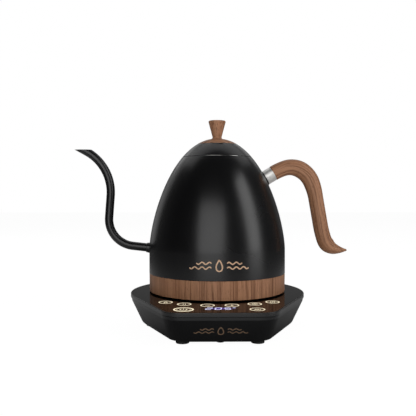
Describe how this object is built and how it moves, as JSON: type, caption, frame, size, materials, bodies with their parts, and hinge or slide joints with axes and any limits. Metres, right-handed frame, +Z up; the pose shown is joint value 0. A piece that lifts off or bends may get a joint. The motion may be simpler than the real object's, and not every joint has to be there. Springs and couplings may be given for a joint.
{
  "type": "electric kettle",
  "caption": "Gooseneck electric kettle with wood grip, wood band and lift-off lid, standing on a touch-control base with a round connector it can turn on.",
  "frame": {"origin": "on the surface the base stands on, directly under the axis of the kettle and its connector", "axes": "+Z up along the kettle axis, -Y towards the display at the front, -X towards the spout, +X towards the handle"},
  "size_m": [0.2944, 0.211, 0.2165],
  "materials": {
    "housing_black": "satin black moulded housing",
    "panel_gloss": "polished black touch panel with pale printed keys",
    "circuit_board": "green solder mask",
    "spring_brass": "plated brass",
    "display_black": "dark display window",
    "component_black": "moulded component bodies",
    "capacitor_sleeve": "printed sleeve",
    "heat_sink_aluminium": "bare aluminium",
    "fuse_glass": "clear tube",
    "terminal_white": "moulded block",
    "screw_steel": "zinc plated",
    "gland_black": "soft moulded bush",
    "foot_rubber": "matt rubber",
    "connector_black": "heat resistant moulding",
    "body_black": "satin black powder coat on steel",
    "walnut": "oiled walnut, fine dark grain",
    "polished_steel": "polished ferrule",
    "inner_steel": "bare stainless",
    "silicone": "translucent grey silicone"
  },
  "bodies": {
    "base": {"base_bowl": "housing_black", "base_deck": "housing_black", "touch_panel": "panel_gloss", "touch_board": "circuit_board", "touch_springs": "spring_brass", "display_module": "display_black", "power_board": "circuit_board", "transformer": "component_black", "filter_capacitors": "capacitor_sleeve", "power_relay": "component_black", "heat_sink": "heat_sink_aluminium", "triac": "component_black", "buzzer": "component_black", "board_fuse": "fuse_glass", "terminal_block": "terminal_white", "terminal_screws": "screw_steel", "cord_gland": "gland_black", "base_feet": "foot_rubber", "housing_screws": "screw_steel", "board_screws": "screw_steel", "touch_board_screws": "screw_steel", "connector_screws": "screw_steel", "base_connector": "connector_black", "base_ring_contacts": "spring_brass", "base_earth_sleeve": "spring_brass"},
    "kettle_coupler": {"kettle_connector": "connector_black", "ring_blades": "spring_brass", "earth_pin": "spring_brass"},
    "kettle": {"kettle_shell": "body_black", "mouth_ring": "body_black", "wood_band": "walnut", "spout_tube": "body_black", "spout_collar": "body_black", "spout_strainer": "inner_steel", "handle_boss": "body_black", "handle_ferrule": "polished_steel", "handle_stud": "screw_steel", "handle_grip": "walnut", "kettle_floor": "inner_steel", "heater_plate": "heat_sink_aluminium", "heating_element": "inner_steel", "thermal_cutouts": "inner_steel", "thermal_fuse": "inner_steel", "temperature_probe": "inner_steel", "probe_seal": "silicone", "probe_nut": "screw_steel", "cover_posts": "screw_steel", "kettle_cover": "connector_black", "cover_screws": "screw_steel"},
    "lid": {"lid_dome": "body_black", "lid_cap": "walnut", "lid_knob": "walnut", "knob_screw": "screw_steel", "knob_washer": "silicone", "lid_liner": "inner_steel", "lid_gasket": "silicone"}
  },
  "joints": [
    {"name": "kettle_lift", "type": "slide", "parent": "base", "child": "kettle_coupler", "axis": [0, 0, 1], "range_m": [0, 0.15]},
    {"name": "kettle_swivel", "type": "hinge", "parent": "kettle_coupler", "child": "kettle", "pos_m": [0, 0, 0.04], "axis": [0, 0, 1], "continuous": true},
    {"name": "lid_lift", "type": "slide", "parent": "kettle", "child": "lid", "axis": [0, 0, 1], "range_m": [0, 0.06]}
  ]
}
